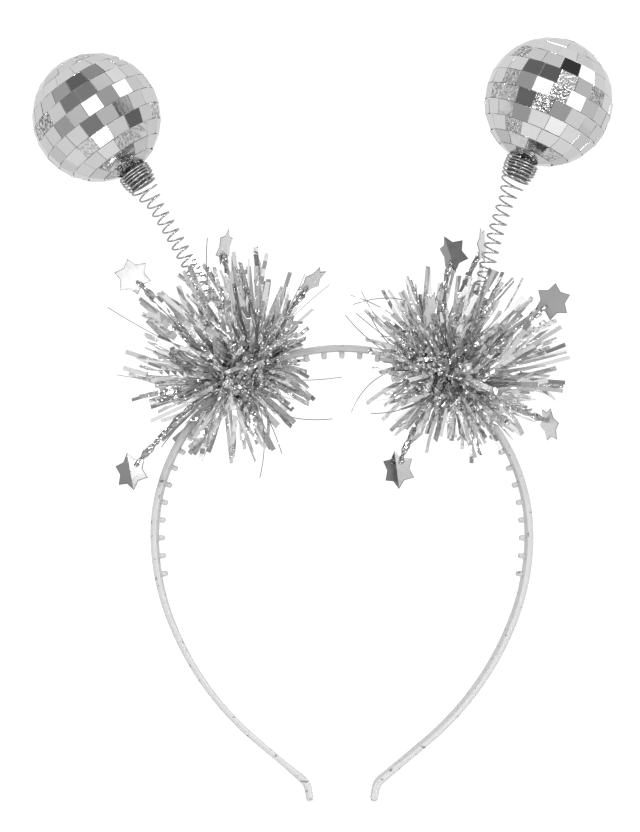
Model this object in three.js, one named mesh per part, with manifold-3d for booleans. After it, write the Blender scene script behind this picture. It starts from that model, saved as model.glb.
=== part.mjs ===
// Disco ball headband: a clear toothed band, two mirror balls on springs, two tinsel tufts and foil stars.
// Millimetres, +Z up, +X to the wearer's left and the viewer's right, +Y away from the viewer.
// The origin is the middle of the band's inner face at the crown, where the band sits on the head.
import * as THREE from 'three';
import { mergeVertices } from 'three/addons/utils/BufferGeometryUtils.js';
import Module from 'manifold-3d';

const wasm = await Module();
wasm.setup();

// Room left between neighbouring pieces, and how far a joined surface may be evened out
const gap = 0.3;
const evenness = 0.04;

// Band: one flat strip bent to a horseshoe, measured along the middle of its thickness
const archRadius = 69.2;
const cheekRadius = 86;
const cheekTurn = 20;
const jawRadius = 110;
const jawTurn = 30;
const jawStraight = 22;
const tipRadius = 6;
const tipLean = 10;
const tipLength = 4.5;
const tipRound = 0.85;
const tipShrink = 0.6;
const bandWidth = 7.5;
const bandThickness = 2.6;
const bandChamfer = 0.8;
const quarterTurn = 90;

// Teeth on the band's inner face
const toothPitch = 6.85;
const toothedReach = 123.5;
const toothHeight = 2.5;
const toothLength = 2;
const toothBreadth = 3;
const toothRoot = 0.6;
const toothTaper = 0.72;
const toothSides = 4;

// Springs: one wire each, wrapped round the band, coiled, and wound tight round the ball's neck
const wireRadius = 0.35;
const wireSides = 5;
const coilRadius = 2.85;
const coilPitch = 3.6;
const coilSteps = 6;
const flareRadius = 5;
const flareTurns = 2;
const collarRadius = 6;
const collarTurns = 3.5;
const collarPitch = 1.1;
const neckTurns = 2.5;
const neckPitch = 1.5;
const collarSteps = 8;
const wrapTurns = 2;
const wrapPitch = 1.05;
const springReach = 110;
const springStand = 10;
const springEase = 34;

// Mirror balls
const ballRadius = 23.75;
const tileRows = 13;
const tileWidth = 6.9;
const seamWidth = 0.45;
const seamDepth = 0.45;
const rowStagger = 0.37;
const neckSides = 8;
const neckSink = 2;
const neckEnd = 0.7;

// Tinsel tufts: locks of foil strips round a wound core that the band runs through
const tuftReach = 42;
const tuftRise = 9;
const tuftSlide = 4;
const coreLength = 27;
const coreRadius = 7.4;
const coreRise = 1.6;
const coreSides = 9;
const coreRings = 6;
const bandRoomSteps = 4;
const boreSides = 9;
const boreSteps = 9;
const boreShare = 0.6;
const lockCount = 32;
const lockWidth = 2.4;
const lockThickness = 1.1;
const lockTaper = 0.6;
const lockKeepOff = 5.6;
const lockSwing = 0.5;
const lockShortest = 0.94;
const lockVariety = 0.12;
const lockRoots = 0.3;
const lockSink = 0.09;
const lockChecks = [0.4, 0.55, 0.7, 0.85, 1];

// Foil stars on wrapped stems
const starRadius = 7;
const starWaist = 4.3;
const starThickness = 0.8;
const starPoints = 6;
const stemRadius = 0.9;
const stemLump = 1.25;
const stemPinch = 0.85;
const stemEnd = 0.3;
const stemSides = 5;
const stemSteps = 2;
const stemChecks = 9;
const stemBend = 0.6;
const stemBow = 3;

const bandStretches = [
  { radius: archRadius, turn: quarterTurn, steps: 10 },
  { radius: cheekRadius, turn: cheekTurn, steps: 3 },
  { radius: jawRadius, turn: jawTurn, steps: 4 },
  { straight: jawStraight, steps: 1 },
  { radius: tipRadius, turn: tipLean - cheekTurn - jawTurn, steps: 3 },
  { straight: tipLength, steps: 1 },
];

// Shares of the half length, of bandWidth and of bandThickness. A positive twist, in degrees,
// turns the inner face to the front.
const bandSections = [
  { along: 0, width: 1, thickness: 1, twistLeft: 0, twistRight: 0 },
  { along: 0.46, width: 1, thickness: 0.98, twistLeft: 5, twistRight: 4 },
  { along: 0.66, width: 0.9, thickness: 0.94, twistLeft: -5, twistRight: 6 },
  { along: 0.92, width: 0.66, thickness: 0.84, twistLeft: -8, twistRight: 8 },
  { along: 0.97, width: 0.62, thickness: 1.08, twistLeft: -4, twistRight: 4 },
  { along: 1, width: 0.6, thickness: 1.04, twistLeft: 0, twistRight: 0 },
];

// The wire's way from its last turn on the band up to the coil, as shares of the way in and of the way up
const wireRise = [
  { inward: 0, over: 0 },
  { inward: 0.2, over: 0.6 },
  { inward: 0.6, over: 0.95 },
];

// One row for each side. The foot stands in a gap between teeth, counted from the crown. Leans are
// degrees out from upright, reach is a share of springReach, slide moves the tuft along the band and is a
// share of tuftSlide, and across, deep and up are shares of tuftReach.
const antennae = [
  {
    side: 'left', sign: -1, footGap: 5.5, lean: 29.9, ballLean: 34, reach: 1,
    slide: 0, across: 1, deep: 0.86, up: 1, seed: 11,
  },
  {
    side: 'right', sign: 1, footGap: 6.5, lean: 18.4, ballLean: 23.5, reach: 1.005,
    slide: -1, across: 0.98, deep: 0.86, up: 0.91, seed: 29,
  },
];

// One row for each star. Across, deep and up are shares of tuftReach from the tuft's middle. The root's
// columns are shares of the core's half length and radius. Facing turns the star about Z from the front,
// tilt leans it back, roll turns it in its own plane and fold creases it, all in degrees.
const stars = [
  {
    side: 'left', across: -0.87, deep: -0.1, up: 0.68, rootAlong: -0.5, rootDeep: -0.2, rootRise: 0.35,
    bow: 0.4, facing: 12, tilt: 12, roll: 18, fold: 0,
  },
  {
    side: 'left', across: -0.87, deep: -0.3, up: -1.02, rootAlong: -0.7, rootDeep: -0.75, rootRise: 0.2,
    bow: 0.5, facing: -8, tilt: -6, roll: 12, fold: 34,
  },
  {
    side: 'left', across: -0.08, deep: 0.2, up: 0.97, rootAlong: 0.5, rootDeep: 0.3, rootRise: 0.4,
    bow: -0.5, facing: 66, tilt: 4, roll: 8, fold: 0,
  },
  {
    side: 'left', across: 0.7, deep: -0.12, up: 0.64, rootAlong: 0.74, rootDeep: -0.25, rootRise: 0.4,
    bow: 0.3, facing: 58, tilt: 8, roll: -26, fold: 0,
  },
  {
    side: 'right', across: -0.11, deep: -0.34, up: 0.9, rootAlong: -0.5, rootDeep: -0.4, rootRise: 0.35,
    bow: -0.6, facing: -14, tilt: 8, roll: 16, fold: 40,
  },
  {
    side: 'right', across: 0.22, deep: 0.3, up: 1.04, rootAlong: -0.34, rootDeep: 0.6, rootRise: 0.3,
    bow: -1.2, facing: 68, tilt: 5, roll: 10, fold: 0,
  },
  {
    side: 'right', across: 0.83, deep: 0.1, up: 0.52, rootAlong: 0.5, rootDeep: 0.2, rootRise: 0.45,
    bow: -1.4, facing: 4, tilt: 4, roll: -8, fold: 0,
  },
  {
    side: 'right', across: -0.57, deep: -0.34, up: -0.96, rootAlong: -0.1, rootDeep: -0.82, rootRise: -0.2,
    bow: 0.8, facing: 8, tilt: -4, roll: 6, fold: -38,
  },
  {
    side: 'right', across: 0.83, deep: 0.36, up: -0.57, rootAlong: 0.72, rootDeep: 0.5, rootRise: 0.35,
    bow: 0.6, facing: -46, tilt: -12, roll: 24, fold: 0,
  },
  {
    side: 'right', across: -0.3, deep: -0.66, up: 0.4, rootAlong: -0.15, rootDeep: -0.8, rootRise: 0.25,
    bow: 0.4, facing: 64, tilt: 10, roll: -14, fold: 0,
  },
];

const clearPlastic = new THREE.MeshStandardMaterial({ color: '#d3d3d5', roughness: 0.25, metalness: 0 });
const springSteel = new THREE.MeshStandardMaterial({ color: '#9b9c9e', roughness: 0.3, metalness: 1 });
const mirrorTile = new THREE.MeshStandardMaterial({ color: '#c9c9ca', roughness: 0.12, metalness: 1 });
const tinselFoil = new THREE.MeshStandardMaterial({ color: '#b4b5b7', roughness: 0.25, metalness: 1 });
const starFoil = new THREE.MeshStandardMaterial({ color: '#c4c5c6', roughness: 0.22, metalness: 1 });

const radians = THREE.MathUtils.degToRad;
const vector = (x, y, z) => new THREE.Vector3(x, y, z);
const depth = vector(0, 1, 0);

// A closed geometry as a solid that can be joined and cut
function toSolid(geometry) {
  geometry.deleteAttribute('normal');
  geometry.deleteAttribute('uv');
  const merged = mergeVertices(geometry);
  const index = merged.index.array;
  const kept = [];
  for (let start = 0; start < index.length; start += 3) {
    const [a, b, c] = index.slice(start, start + 3);
    if (a !== b && b !== c && c !== a) kept.push(a, b, c);
  }
  const triVerts = Uint32Array.from(kept);
  const vertProperties = Float32Array.from(merged.attributes.position.array);
  return new wasm.Manifold(new wasm.Mesh({ numProp: 3, vertProperties, triVerts }));
}

function toMesh(name, solid, material) {
  const { vertProperties, triVerts } = solid.simplify(evenness).getMesh();
  const geometry = new THREE.BufferGeometry();
  geometry.setAttribute('position', new THREE.BufferAttribute(vertProperties, 3));
  geometry.setIndex(new THREE.BufferAttribute(triVerts, 1));
  geometry.computeVertexNormals();
  const mesh = new THREE.Mesh(geometry, material);
  mesh.name = name;
  return mesh;
}

// A closed skin over rings of corners, each ring turning left as seen from the last one
function loft(rings) {
  const corners = rings.flat();
  const count = rings[0].length;
  const last = corners.length - count;
  const faces = [];
  for (let start = 0; start < last; start += count) {
    for (let corner = 0; corner < count; corner += 1) {
      const here = start + corner;
      const beside = start + (corner + 1) % count;
      faces.push(here, beside, beside + count, here, beside + count, here + count);
    }
  }
  for (let corner = 1; corner + 1 < count; corner += 1) {
    faces.push(0, corner + 1, corner, last, last + corner, last + corner + 1);
  }
  const geometry = new THREE.BufferGeometry();
  geometry.setFromPoints(corners);
  geometry.setIndex(faces);
  return geometry;
}

// The same numbers for every run: a small multiplying generator
function randomFrom(seed) {
  const multiplier = 48271;
  const range = 2 ** 31 - 1;
  let state = seed;
  return () => {
    state = (state * multiplier) % range;
    return state / range;
  };
}

// Where the band's middle line is, a distance right (or, below zero, left) of the crown
function bandPlace(distance) {
  const side = Math.sign(distance) || 1;
  let left = Math.abs(distance);
  let heading = 0;
  const outwardAt = (angle) => vector(Math.sin(angle), 0, Math.cos(angle));
  const alongAt = (angle) => vector(Math.cos(angle), 0, -Math.sin(angle));
  const point = vector(0, 0, bandThickness / 2);
  for (const stretch of bandStretches) {
    if (stretch.straight) {
      point.addScaledVector(alongAt(heading), Math.min(left, stretch.straight));
      left -= stretch.straight;
    } else {
      const turn = radians(stretch.turn);
      const share = Math.min(1, left / (stretch.radius * Math.abs(turn)));
      const swing = stretch.radius * Math.sign(turn);
      point.addScaledVector(outwardAt(heading), -swing);
      heading += turn * share;
      point.addScaledVector(outwardAt(heading), swing);
      left -= stretch.radius * Math.abs(turn);
    }
    if (left <= 0) break;
  }
  point.x *= side;
  const outward = outwardAt(heading);
  outward.x *= side;
  const along = alongAt(heading);
  along.z *= side;
  return { point, along, outward };
}

const stretchLength = ({ straight, radius, turn }) => straight ?? radius * Math.abs(radians(turn));
const halfLength = bandStretches.reduce((sum, stretch) => sum + stretchLength(stretch), 0);

// The band's width, thickness and turned axes at a place
function bandSection(distance) {
  const share = Math.min(1, Math.abs(distance) / halfLength);
  const next = Math.max(1, bandSections.findIndex(({ along }) => along >= share));
  const before = bandSections[next - 1];
  const after = bandSections[next];
  const mix = (share - before.along) / (after.along - before.along);
  const blend = (column) => THREE.MathUtils.lerp(before[column], after[column], mix);
  const twist = radians(blend(distance < 0 ? 'twistLeft' : 'twistRight'));
  const { point, along, outward } = bandPlace(distance);
  const up = outward.clone().multiplyScalar(Math.cos(twist)).addScaledVector(depth, Math.sin(twist));
  const wide = depth.clone().multiplyScalar(Math.cos(twist)).addScaledVector(outward, -Math.sin(twist));
  const width = bandWidth * blend('width');
  const thickness = bandThickness * blend('thickness');
  return { point, along, up, wide, width, thickness };
}

// Eight corners of a rounded rectangle
function roundedRing({ point, up, wide }, halfWidth, halfThickness, chamfer) {
  const short = halfWidth - chamfer;
  const low = halfThickness - chamfer;
  const corners = [
    [halfWidth, -low], [halfWidth, low], [short, halfThickness], [-short, halfThickness],
    [-halfWidth, low], [-halfWidth, -low], [-short, -halfThickness], [short, -halfThickness],
  ];
  return corners.map(([across, over]) => point.clone()
    .addScaledVector(wide, across).addScaledVector(up, over));
}

function bandRing(distance, shrink = 1) {
  const section = bandSection(distance);
  const halfWidth = (section.width / 2) * shrink;
  const halfThickness = (section.thickness / 2) * shrink;
  return roundedRing(section, halfWidth, halfThickness, bandChamfer * shrink);
}

function bandTooth(distance) {
  const { point, along, up, wide, thickness } = bandSection(distance);
  const height = toothHeight + toothRoot;
  const peg = new THREE.CylinderGeometry(toothTaper * Math.SQRT1_2, Math.SQRT1_2, height, toothSides);
  peg.rotateY(Math.PI / toothSides).scale(toothLength, 1, toothBreadth);
  const middle = point.clone().addScaledVector(up, toothRoot - thickness / 2 - height / 2);
  const turned = new THREE.Matrix4().makeBasis(along, up.clone().negate(), wide).setPosition(middle);
  return toSolid(peg.applyMatrix4(turned));
}

function bandSolid() {
  const places = [0];
  let start = 0;
  for (const stretch of bandStretches) {
    const length = stretchLength(stretch);
    for (let step = 1; step <= stretch.steps; step += 1) {
      places.push(start + (length * step) / stretch.steps);
    }
    start += length;
  }
  places[places.length - 1] -= tipRound;
  const half = places.slice(1).map((place) => ({ place, shrink: 1 }));
  half.push({ place: halfLength, shrink: tipShrink });
  const left = half.map(({ place, shrink }) => bandRing(-place, shrink)).reverse();
  const right = half.map(({ place, shrink }) => bandRing(place, shrink));
  const strip = toSolid(loft([...left, bandRing(0), ...right]));
  const teethEachSide = Math.floor(toothedReach / toothPitch);
  const teeth = [];
  for (let tooth = -teethEachSide; tooth <= teethEachSide; tooth += 1) {
    teeth.push(bandTooth(tooth * toothPitch));
  }
  return wasm.Manifold.union([strip, ...teeth]);
}

// A wire bent through points in order, with one section of it at each point
class WireRun extends THREE.Curve {
  constructor(points) {
    super();
    this.points = points;
  }

  getPoint(share, target = new THREE.Vector3()) {
    const place = share * (this.points.length - 1);
    const index = Math.min(Math.floor(place), this.points.length - 2);
    return target.lerpVectors(this.points[index], this.points[index + 1], place - index);
  }

  getUtoTmapping(share) {
    return share;
  }
}

function wireSolid(points) {
  const section = new THREE.Shape();
  for (let side = 0; side < wireSides; side += 1) {
    const angle = (2 * Math.PI * side) / wireSides;
    const place = [wireRadius * Math.cos(angle), wireRadius * Math.sin(angle)];
    if (side === 0) section.moveTo(...place);
    else section.lineTo(...place);
  }
  section.closePath();
  const extrudePath = new WireRun(points);
  return toSolid(new THREE.ExtrudeGeometry(section, { steps: points.length - 1, extrudePath }));
}

// The lines that one antenna is built on: its foot on the band, its ball and the spring's middle line
function antennaFrame(antenna) {
  const footPlace = antenna.sign * antenna.footGap * toothPitch;
  const foot = bandSection(footPlace);
  const leaning = (angle) => vector(antenna.sign * Math.sin(radians(angle)), 0, Math.cos(radians(angle)));
  const ballUp = leaning(antenna.ballLean);
  const ballMiddle = foot.point.clone().addScaledVector(leaning(antenna.lean), springReach * antenna.reach);
  const collarTop = Math.sqrt((ballRadius + wireRadius + gap) ** 2 - collarRadius ** 2);
  const neckLength = collarTurns * collarPitch + neckTurns * neckPitch;
  const coilFoot = foot.thickness / 2 + 2 * gap + 3 * wireRadius;
  const start = foot.point.clone().addScaledVector(foot.up, coilFoot);
  const top = ballMiddle.clone().addScaledVector(ballUp, -collarTop);
  const neckFoot = top.clone().addScaledVector(ballUp, -neckLength);
  const standing = start.clone().addScaledVector(foot.up, springStand);
  const easing = neckFoot.clone().addScaledVector(ballUp, -springEase);
  const middleLine = new THREE.CurvePath();
  middleLine.add(new THREE.CubicBezierCurve3(start, standing, easing, neckFoot));
  middleLine.add(new THREE.LineCurve3(neckFoot, top));
  return { ...antenna, footPlace, foot, coilFoot, ballUp, ballMiddle, neckLength, middleLine };
}

// Turns round the band, up its back, and then the coil, the flare, the neck turns and the collar
function springPoints({ foot, coilFoot, middleLine, neckLength }) {
  const points = [];
  const halfWidth = foot.width / 2 + gap + wireRadius;
  const halfThickness = foot.thickness / 2 + gap + wireRadius;
  const flatAxes = { point: vector(0, 0, 0), up: vector(0, 0, 1), wide: vector(0, 1, 0) };
  const ring = roundedRing(flatAxes, halfWidth, halfThickness, bandChamfer + wireRadius / 2).reverse();
  const onFoot = (along, across, over) => foot.point.clone()
    .addScaledVector(foot.along, along).addScaledVector(foot.wide, across).addScaledVector(foot.up, over);
  for (let step = 0; step < wrapTurns * ring.length; step += 1) {
    const { y, z } = ring[(step + ring.length - 1) % ring.length];
    points.push(onFoot(wrapPitch * (wrapTurns / 2 - step / ring.length), y, z));
  }
  const wrapEnd = (-wrapPitch * wrapTurns) / 2;
  const startAngle = Math.acos((wrapEnd - wireRadius) / coilRadius);
  const startAcross = coilRadius * Math.sin(startAngle);
  for (const { inward, over } of wireRise) {
    const across = THREE.MathUtils.lerp(halfWidth, startAcross, inward);
    points.push(onFoot(wrapEnd - wireRadius * inward, across, coilFoot * over));
  }
  const length = middleLine.getLength();
  const coilLength = length - neckLength - flareTurns * coilPitch;
  const coilTurns = coilLength / coilPitch;
  const winding = [
    { turns: coilTurns, pitch: coilPitch, radius: coilRadius, steps: coilSteps },
    { turns: flareTurns, pitch: coilPitch, radius: flareRadius, steps: coilSteps + 1 },
    { turns: neckTurns, pitch: neckPitch, radius: collarRadius, steps: collarSteps },
    { turns: collarTurns, pitch: collarPitch, radius: collarRadius, steps: collarSteps },
  ];
  let rise = 0;
  let angle = startAngle;
  let radius = coilRadius;
  const wound = (height, turned, size) => {
    const share = Math.min(1, height / length);
    const tangent = middleLine.getTangentAt(share);
    const across = depth.clone().cross(tangent);
    return middleLine.getPointAt(share)
      .addScaledVector(across, size * Math.cos(turned)).addScaledVector(depth, size * Math.sin(turned));
  };
  points.push(wound(0, angle, radius));
  for (const part of winding) {
    const steps = Math.round(part.turns * part.steps);
    const startRadius = radius;
    for (let step = 1; step <= steps; step += 1) {
      angle += (part.turns / steps) * 2 * Math.PI;
      rise += (part.turns / steps) * part.pitch;
      radius = THREE.MathUtils.lerp(startRadius, part.radius, step / steps);
      points.push(wound(rise, angle, radius));
    }
  }
  return points;
}

// A ball of flat mirror tiles in rows round the neck's line, with a seam cut in between the rows.
// It is built with its middle at the origin and its neck down.
function mirrorBall(neckLength) {
  const corners = [];
  const faces = [];
  const rowAngle = Math.PI / tileRows;
  const fullTurn = 2 * Math.PI;
  const seamAngle = seamWidth / 2 / ballRadius;
  const corner = (fall, turn, radius) => {
    const ringRadius = radius * Math.sin(fall);
    corners.push(vector(ringRadius * Math.cos(turn), ringRadius * Math.sin(turn), -radius * Math.cos(fall)));
    return corners.length - 1;
  };
  const rows = [];
  for (let row = 1; row < tileRows - 1; row += 1) {
    const girth = fullTurn * ballRadius * Math.sin((row + 0.5) * rowAngle);
    const count = Math.round(girth / tileWidth);
    const stagger = (row * rowStagger) % 1;
    const turns = Array.from({ length: count }, (_, tile) => (fullTurn * (tile + stagger)) / count);
    rows.push({ row, turns });
  }
  const seams = [];
  for (let ring = 1; ring < tileRows; ring += 1) {
    const meeting = rows.filter(({ row }) => row === ring || row === ring - 1);
    const turns = meeting.flatMap((row) => row.turns).sort((first, second) => first - second);
    const apart = turns.filter((turn, place) => place === 0 || turn - turns[place - 1] > seamAngle);
    const floor = ballRadius - seamDepth;
    seams[ring] = apart.map((turn) => ({ turn, index: corner(ring * rowAngle, turn, floor) }));
  }
  const nearest = (seam, turn) => {
    const away = ({ turn: other }) => Math.abs(((other - turn + 3 * Math.PI) % fullTurn) - Math.PI);
    return seam.reduce((best, _, place) => (away(seam[place]) < away(seam[best]) ? place : best), 0);
  };
  const stretch = (seam, from, to) => {
    const list = [];
    for (let place = nearest(seam, from); ; place = (place + 1) % seam.length) {
      list.push(seam[place].index);
      if (place === nearest(seam, to)) return list;
    }
  };
  for (const { row, turns } of rows) {
    const low = turns.map((turn) => corner(row * rowAngle + seamAngle, turn, ballRadius));
    const high = turns.map((turn) => corner((row + 1) * rowAngle - seamAngle, turn, ballRadius));
    turns.forEach((turn, tile) => {
      const next = (tile + 1) % turns.length;
      const under = stretch(seams[row], turn, turns[next]);
      const over = stretch(seams[row + 1], turn, turns[next]);
      const underHalf = under.length >> 1;
      const overHalf = over.length >> 1;
      faces.push(low[tile], low[next], high[next], low[tile], high[next], high[tile]);
      faces.push(under[underHalf], low[next], low[tile], over[overHalf], high[tile], high[next]);
      for (let place = 0; place + 1 < under.length; place += 1) {
        faces.push(under[place], under[place + 1], place < underHalf ? low[tile] : low[next]);
      }
      for (let place = 0; place + 1 < over.length; place += 1) {
        faces.push(over[place + 1], over[place], place < overHalf ? high[tile] : high[next]);
      }
    });
  }
  const nearSeam = seams[1];
  const farSeam = seams[tileRows - 1];
  const nearCap = nearSeam.map(({ turn }) => corner(rowAngle - seamAngle, turn, ballRadius));
  const farCap = farSeam.map(({ turn }) => corner(Math.PI - rowAngle + seamAngle, turn, ballRadius));
  nearSeam.forEach(({ index }, place) => {
    const next = (place + 1) % nearSeam.length;
    faces.push(nearCap[place], nearCap[next], nearSeam[next].index);
    faces.push(nearCap[place], nearSeam[next].index, index);
    if (next > 1) faces.push(nearCap[0], nearCap[next], nearCap[place]);
  });
  farSeam.forEach(({ index }, place) => {
    const next = (place + 1) % farSeam.length;
    faces.push(index, farSeam[next].index, farCap[next], index, farCap[next], farCap[place]);
    if (next > 1) faces.push(farCap[0], farCap[place], farCap[next]);
  });
  const geometry = new THREE.BufferGeometry();
  geometry.setFromPoints(corners);
  geometry.setIndex(faces);
  return toSolid(geometry).add(ballNeck(neckLength));
}

// The glued neck that the collar is wound on, a lumpy plug out of the ball's lowest point
function ballNeck(neckLength) {
  const inside = (radius) => radius * Math.cos(Math.PI / collarSteps) - wireRadius - gap;
  const inner = inside(collarRadius);
  const foot = inside(flareRadius);
  const top = -(ballRadius - neckSink);
  const end = -(ballRadius + neckLength - gap);
  const collarEnd = -(ballRadius + collarTurns * collarPitch);
  const profile = [
    [0, end], [foot * neckEnd, end], [foot, end + wireRadius * 2], [inner, collarEnd], [inner, top], [0, top],
  ];
  const points = profile.map(([radius, height]) => new THREE.Vector2(radius, height));
  return toSolid(new THREE.LatheGeometry(points, neckSides).rotateX(Math.PI / 2));
}

function ballSolid({ ballUp, ballMiddle, neckLength }) {
  const across = depth.clone().cross(ballUp);
  const placed = new THREE.Matrix4().makeBasis(across, depth, ballUp).setPosition(ballMiddle);
  return mirrorBall(neckLength).transform(placed.elements);
}

// Where a tuft is: its wound core on the band, and the middle that its locks spread to
function tuftFrame({ foot, slide, across, deep, up }) {
  const core = foot.point.clone().addScaledVector(foot.along, slide * tuftSlide)
    .addScaledVector(foot.up, coreRise);
  const middle = core.clone().addScaledVector(foot.up, tuftRise - coreRise);
  const spread = vector(across, deep, up).multiplyScalar(tuftReach);
  return { core, middle, spread };
}

function starFrame(star, antenna) {
  const { foot } = antenna;
  const { core, middle } = tuftFrame(antenna);
  const centre = middle.clone().add(vector(star.across, star.deep, star.up).multiplyScalar(tuftReach));
  const root = core.clone()
    .addScaledVector(foot.along, (star.rootAlong * coreLength) / 2)
    .addScaledVector(foot.wide, star.rootDeep * coreRadius)
    .addScaledVector(foot.up, star.rootRise * coreRadius);
  const turned = new THREE.Matrix4().makeRotationZ(radians(star.facing))
    .multiply(new THREE.Matrix4().makeRotationX(radians(quarterTurn + star.tilt)))
    .multiply(new THREE.Matrix4().makeRotationZ(radians(star.roll)));
  const out = centre.clone().sub(root).normalize();
  const edge = out.clone().multiplyScalar(-starWaist / 2).applyMatrix4(turned.clone().invert());
  edge.setZ(Math.min(0, edge.x) * Math.tan(radians(star.fold))).applyMatrix4(turned).add(centre);
  const bend = root.clone().lerp(edge, stemBend);
  bend.addScaledVector(depth.clone().cross(out).normalize(), star.bow * stemBow);
  const stem = new THREE.QuadraticBezierCurve3(root, bend, edge);
  return { centre, turned, stem };
}

// A six-pointed foil star on its wrapped stem, or the room that they take when grow is above zero
function starSolid(star, antenna, grow = 0) {
  const { centre, turned, stem } = starFrame(star, antenna);
  const outer = starRadius + grow;
  const plate = new THREE.CylinderGeometry(outer, outer, starThickness + 2 * grow, 2 * starPoints);
  plate.rotateX(Math.PI / 2);
  const place = plate.attributes.position;
  const slope = Math.tan(radians(star.fold));
  for (let index = 0; index < place.count; index += 1) {
    const corner = Math.round((Math.atan2(place.getX(index), place.getY(index)) * starPoints) / Math.PI);
    const share = corner % 2 ? (starWaist + grow) / outer : 1;
    place.setXY(index, place.getX(index) * share, place.getY(index) * share);
    place.setZ(index, place.getZ(index) + Math.min(0, place.getX(index)) * slope);
  }
  plate.applyMatrix4(turned.clone().setPosition(centre));
  const rings = [];
  for (let step = 0; step <= stemSteps; step += 1) {
    const share = step / stemSteps;
    const along = stem.getTangent(share);
    const first = depth.clone().cross(along).normalize();
    const second = along.clone().cross(first);
    const lumpy = stemRadius * (step % 2 ? stemLump : stemPinch);
    const radius = (step === stemSteps ? stemEnd : lumpy) + grow;
    rings.push(Array.from({ length: stemSides }, (_, side) => {
      const angle = (2 * Math.PI * side) / stemSides;
      return stem.getPoint(share)
        .addScaledVector(first, radius * Math.cos(angle)).addScaledVector(second, radius * Math.sin(angle));
    }));
  }
  return toSolid(plate).add(toSolid(loft(rings)));
}

// One lock of foil strips: a flat bar, narrower at its tip
function lockSolid(root, tip, roll) {
  const along = tip.clone().sub(root).normalize();
  const first = depth.clone().cross(along).normalize();
  const second = along.clone().cross(first);
  const flat = first.clone().multiplyScalar(Math.cos(roll)).addScaledVector(second, Math.sin(roll));
  const thin = along.clone().cross(flat);
  const ring = (middle, share) => [[1, 1], [-1, 1], [-1, -1], [1, -1]].map(([across, over]) => middle.clone()
    .addScaledVector(flat, (across * share * lockWidth) / 2)
    .addScaledVector(thin, (over * share * lockThickness) / 2));
  return toSolid(loft([ring(root, 1), ring(tip, lockTaper)]));
}

// Lines that no lock may run along: the band, the spring and the stars' stems
function keptClear(antenna, ownStars) {
  const lines = [];
  const halfArch = archRadius * radians(quarterTurn);
  for (let place = -halfArch; place <= halfArch; place += lockKeepOff / 2) {
    lines.push(bandPlace(place).point);
  }
  lines.push(...antenna.middleLine.getSpacedPoints(Math.round(springReach / coilPitch)));
  for (const star of ownStars) {
    const { stem, centre } = starFrame(star, antenna);
    lines.push(...stem.getPoints(stemChecks).slice(stemSteps), centre);
  }
  return lines;
}

function tuftSolid(antenna, ownStars) {
  const { core, middle, spread } = tuftFrame(antenna);
  const { foot } = antenna;
  const random = randomFrom(antenna.seed);
  const placed = new THREE.Matrix4().makeBasis(foot.along, foot.wide, foot.up).setPosition(core);
  const wound = new THREE.SphereGeometry(1, coreSides, coreRings).rotateZ(Math.PI / 2);
  wound.scale(coreLength / 2, coreRadius, coreRadius);
  const pieces = [toSolid(wound.applyMatrix4(placed))];
  const clearLines = keptClear(antenna, ownStars);
  const goldenTurn = Math.PI * (3 - Math.sqrt(5));
  for (let lock = 0; lock < lockCount; lock += 1) {
    const level = 1 - (2 * lock + 1) / lockCount;
    const ringRadius = Math.sqrt(1 - level * level);
    const turn = lock * goldenTurn + random() * lockSwing;
    const toward = vector(ringRadius * Math.cos(turn), level, ringRadius * Math.sin(turn));
    const reach = lockShortest + lockVariety * random();
    const tip = middle.clone().add(toward.clone().multiply(spread).multiplyScalar(reach));
    const root = core.clone().addScaledVector(foot.along, toward.dot(foot.along) * coreLength * lockRoots);
    root.lerp(tip, lockSink);
    const roll = Math.PI * random();
    const outside = lockChecks.map((share) => root.clone().lerp(tip, share));
    const blocked = outside.some((spot) => clearLines.some((line) => line.distanceTo(spot) < lockKeepOff));
    if (!blocked) pieces.push(lockSolid(root, tip, roll));
  }
  const bulk = wasm.Manifold.union(pieces);
  const starRooms = ownStars.map((star) => starSolid(star, antenna, gap));
  const rooms = [bandRoom(antenna), springRoom(antenna), ...starRooms];
  const cut = bulk.subtract(wasm.Manifold.union(rooms));
  return cut.decompose().reduce((best, piece) => (piece.volume() > best.volume() ? piece : best));
}

// The room of the band and its teeth inside a tuft, one slot along the arch
function bandRoom({ footPlace, slide }) {
  const rings = [];
  const reach = tuftReach / 2 + coreLength / 2;
  for (let step = -bandRoomSteps; step <= bandRoomSteps; step += 1) {
    const place = footPlace + slide * tuftSlide + (step * reach) / bandRoomSteps;
    const { point, up, wide, width, thickness } = bandSection(place);
    const halfWidth = width / 2 + gap;
    const over = thickness / 2 + gap;
    const under = over + toothHeight;
    rings.push([[1, -under], [1, over], [-1, over], [-1, -under]].map(([side, rise]) => point.clone()
      .addScaledVector(wide, side * halfWidth).addScaledVector(up, rise)));
  }
  return toSolid(loft(rings));
}

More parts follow.
